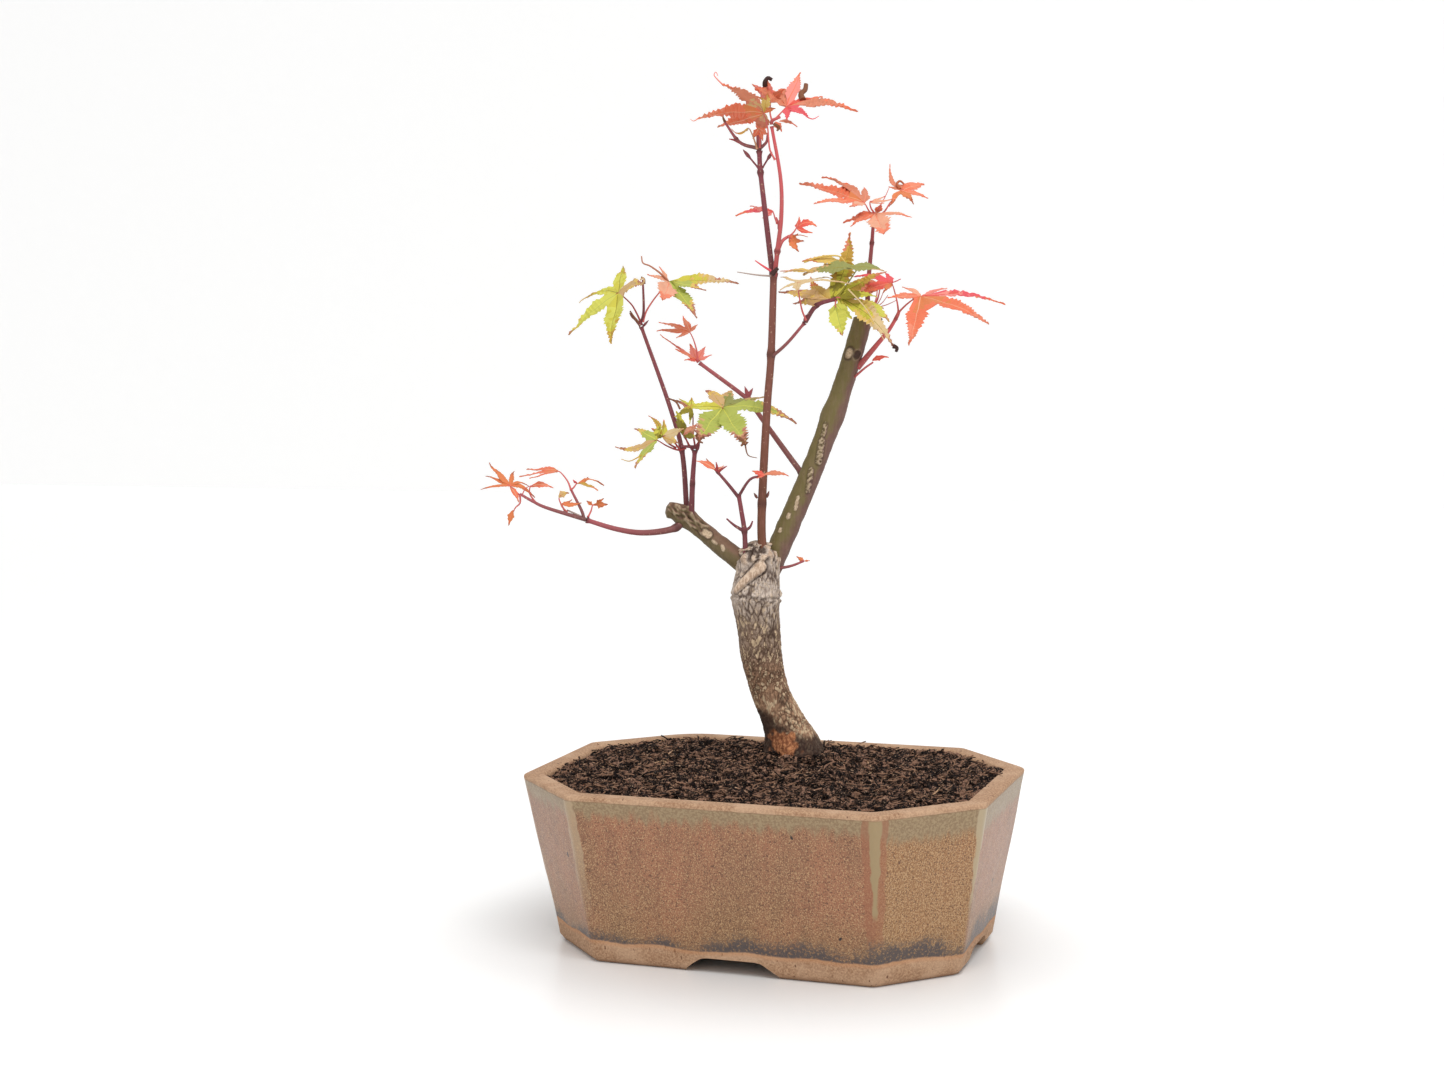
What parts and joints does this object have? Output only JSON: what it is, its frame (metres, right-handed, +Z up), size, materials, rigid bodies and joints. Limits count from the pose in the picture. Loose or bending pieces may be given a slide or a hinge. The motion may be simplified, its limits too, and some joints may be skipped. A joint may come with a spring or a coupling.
{
  "type": "potted maple bonsai",
  "caption": "Young trained maple with a leaning trunk, pruned boughs, thin shoots and loose autumn leaves, in mounded soil in a tapered octagonal stoneware pot on an arched foot.",
  "frame": {"origin": "centre of the bounding box's base, on the surface that the pot stands on", "axes": "+X along the pot's long side, to the right seen from its front, +Y to the pot's back, +Z up"},
  "size_m": [0.2284, 0.1504, 0.3857],
  "materials": {
    "stoneware": "satin, part-glazed",
    "soil": "matt",
    "bark": "matt",
    "shoot": "satin",
    "leaf_red": "matt",
    "leaf_orange": "matt",
    "leaf_gold": "matt",
    "leaf_green": "matt"
  },
  "bodies": {
    "root": {"pot": "stoneware", "soil": "soil", "trunk": "bark", "bough_left": "bark", "bough_right": "bark", "leader": "shoot", "leader_top": "shoot", "red_shoot": "shoot", "shoot_tall": "shoot", "shoot_short": "shoot", "shoot_low": "shoot", "shoot_back": "shoot", "shoot_side": "shoot", "shoot_right": "shoot", "shoot_top_right": "shoot", "top_leaves": "leaf_red", "top_twigs": "leaf_gold", "leader_leaf": "leaf_red", "leader_side": "leaf_red", "upper_right": "leaf_red", "right": "leaf_red", "pink_mid": "leaf_red", "bough_sprig": "leaf_red", "centre_right": "leaf_green", "left_upper": "leaf_green", "left_mid": "leaf_green", "left_low": "leaf_orange", "back_mid": "leaf_red", "fork_twig": "leaf_red", "trunk_sprig": "leaf_red"}
  },
  "joints": []
}
